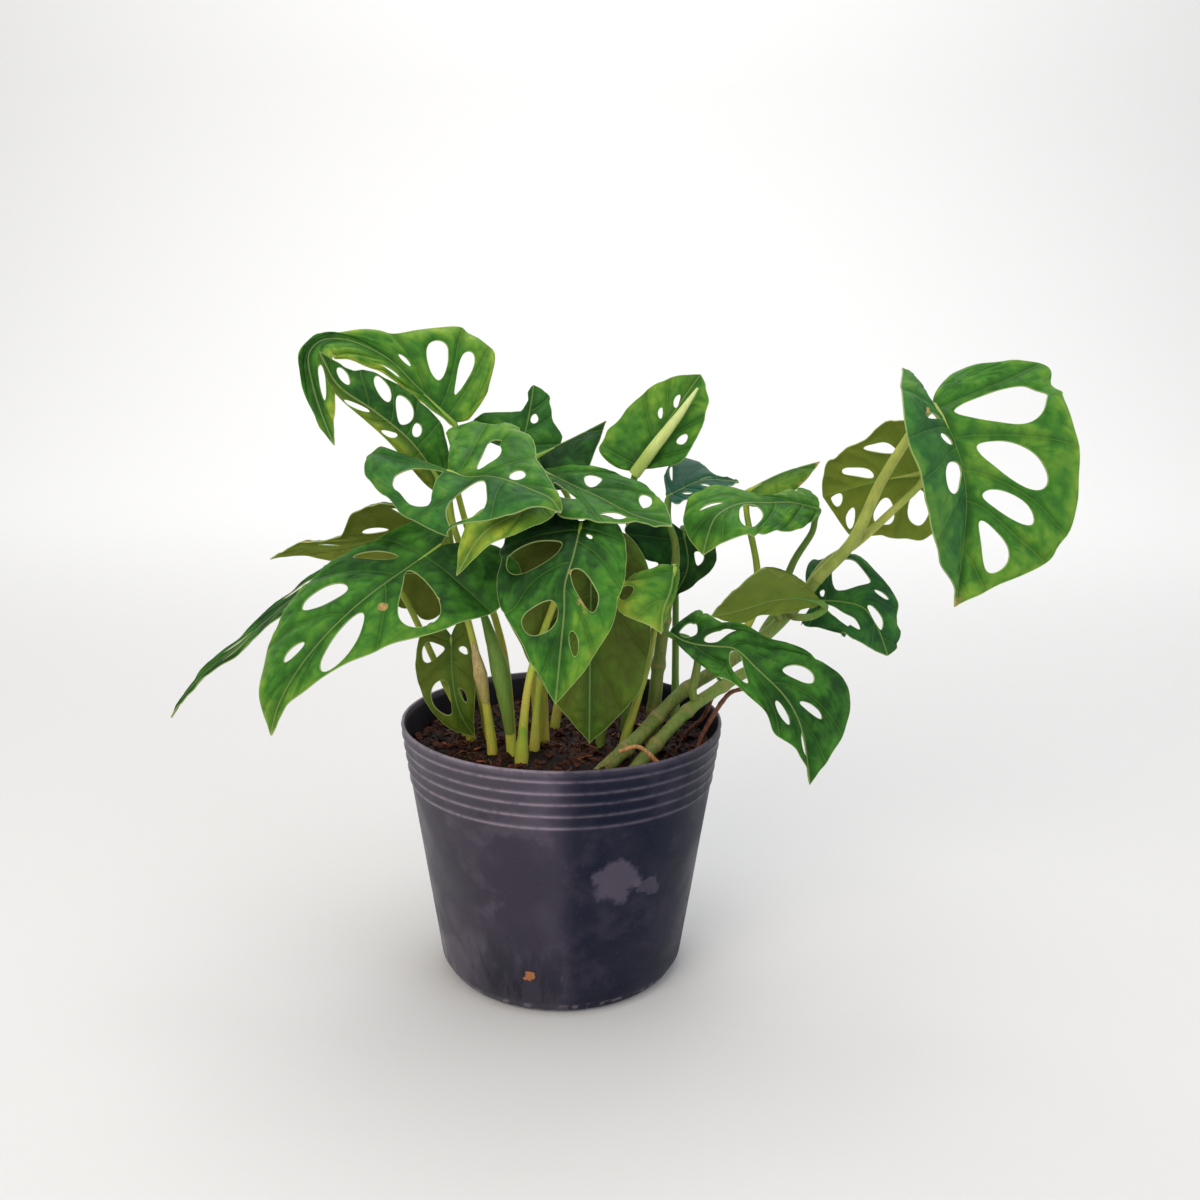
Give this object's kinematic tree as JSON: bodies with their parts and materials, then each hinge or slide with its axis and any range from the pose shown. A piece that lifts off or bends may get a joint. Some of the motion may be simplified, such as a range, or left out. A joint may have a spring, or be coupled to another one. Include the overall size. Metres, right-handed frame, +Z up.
{
  "type": "potted swiss cheese vine",
  "caption": "Perforated-leaf climbing aroid with long curved leaf stalks, woody stems and aerial roots, growing in a tapered ringed plastic pot filled with coir soil.",
  "frame": {"origin": "middle of the pot's underside, on the surface it stands on", "axes": "+Z up; -Y towards the side the picture was taken from; +X to its right"},
  "size_m": [0.4053, 0.1573, 0.2991],
  "materials": {
    "pot": "soft satin moulded plastic, dusty",
    "soil": "loose moist coir and bark chips",
    "leaf": "satin waxy leaf",
    "stem": "smooth green stem",
    "root": "dry fibrous root"
  },
  "bodies": {
    "root": {"leaf_apron": "leaf", "leaf_arch": "leaf", "leaf_back_lobe": "leaf", "leaf_blade_left": "leaf", "leaf_blue": "leaf", "leaf_bright": "leaf", "leaf_cap": "leaf", "leaf_crest": "leaf", "leaf_crest_under": "leaf", "leaf_dark_edge": "leaf", "leaf_flag": "leaf", "leaf_folded": "leaf", "leaf_hero": "leaf", "leaf_lime_tip": "leaf", "leaf_low_left": "leaf", "leaf_low_right": "leaf", "leaf_mask": "leaf", "leaf_olive": "leaf", "leaf_olive_fold": "leaf", "leaf_right_nod": "leaf", "leaf_shade": "leaf", "leaf_shield": "leaf", "leaf_upright": "leaf", "leaf_wing": "leaf", "pot": "pot", "root_front": "root", "root_inner": "root", "root_outer": "root", "soil": "soil", "vine_back": "stem", "vine_front": "stem", "vine_upright": "stem"}
  },
  "joints": []
}
